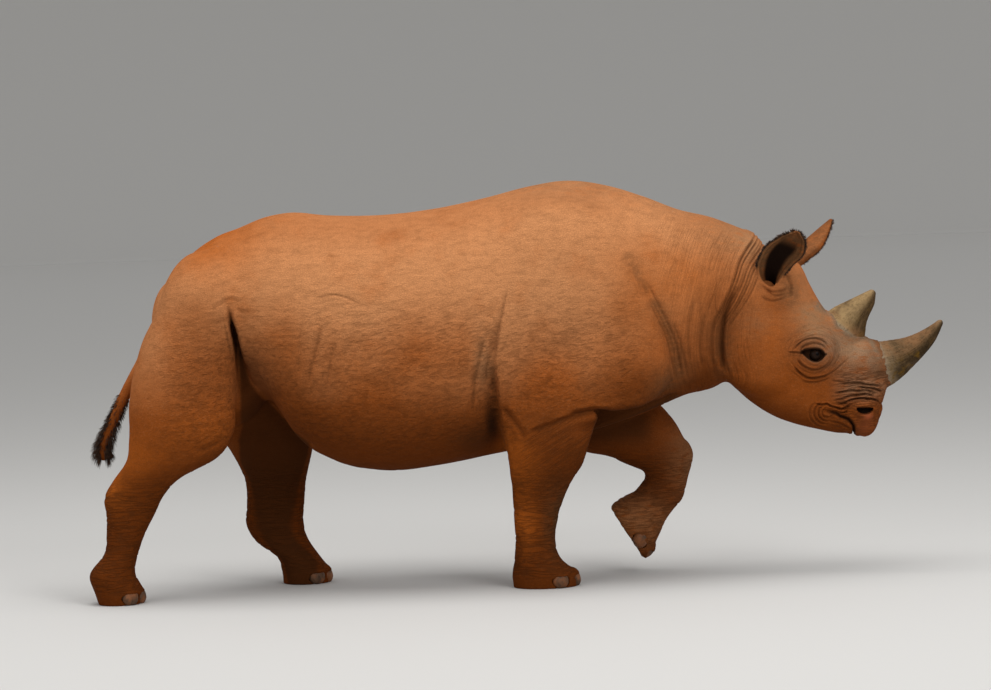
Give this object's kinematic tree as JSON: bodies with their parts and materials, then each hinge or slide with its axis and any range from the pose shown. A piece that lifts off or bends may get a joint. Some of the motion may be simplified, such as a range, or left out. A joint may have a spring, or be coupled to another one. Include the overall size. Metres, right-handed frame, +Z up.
{
  "type": "black rhinoceros",
  "caption": "Life-size standing black rhinoceros in mid stride, left forefoot lifted, with horns, cupped ears and nailed feet; still museum-like model.",
  "frame": {"origin": "on the ground plane under the middle of the whole animal's box", "axes": "+X towards the head, +Y to the animal's left, +Z up"},
  "size_m": [3.1889, 0.8089, 1.4879],
  "materials": {
    "skin": "dusty matt bare hide, finely wrinkled",
    "horn": "fibrous keratin, worn smooth towards the tips",
    "nail": "worn keratin plate",
    "eye": "wet and glossy, dark brown"
  },
  "bodies": {
    "root": {"trunk": "skin", "neck": "skin", "head": "skin", "horn_front": "horn", "horn_rear": "horn", "eye_right": "eye", "eye_left": "eye", "ear_right": "skin", "ear_left": "skin", "tail": "skin", "leg_front_right": "skin", "foot_front_right": "skin", "nail_front_right_inner": "nail", "nail_front_right_middle": "nail", "nail_front_right_outer": "nail", "leg_front_left": "skin", "foot_front_left": "skin", "nail_front_left_inner": "nail", "nail_front_left_middle": "nail", "nail_front_left_outer": "nail", "leg_hind_right": "skin", "foot_hind_right": "skin", "nail_hind_right_inner": "nail", "nail_hind_right_middle": "nail", "nail_hind_right_outer": "nail", "leg_hind_left": "skin", "foot_hind_left": "skin", "nail_hind_left_inner": "nail", "nail_hind_left_middle": "nail", "nail_hind_left_outer": "nail"}
  },
  "joints": []
}
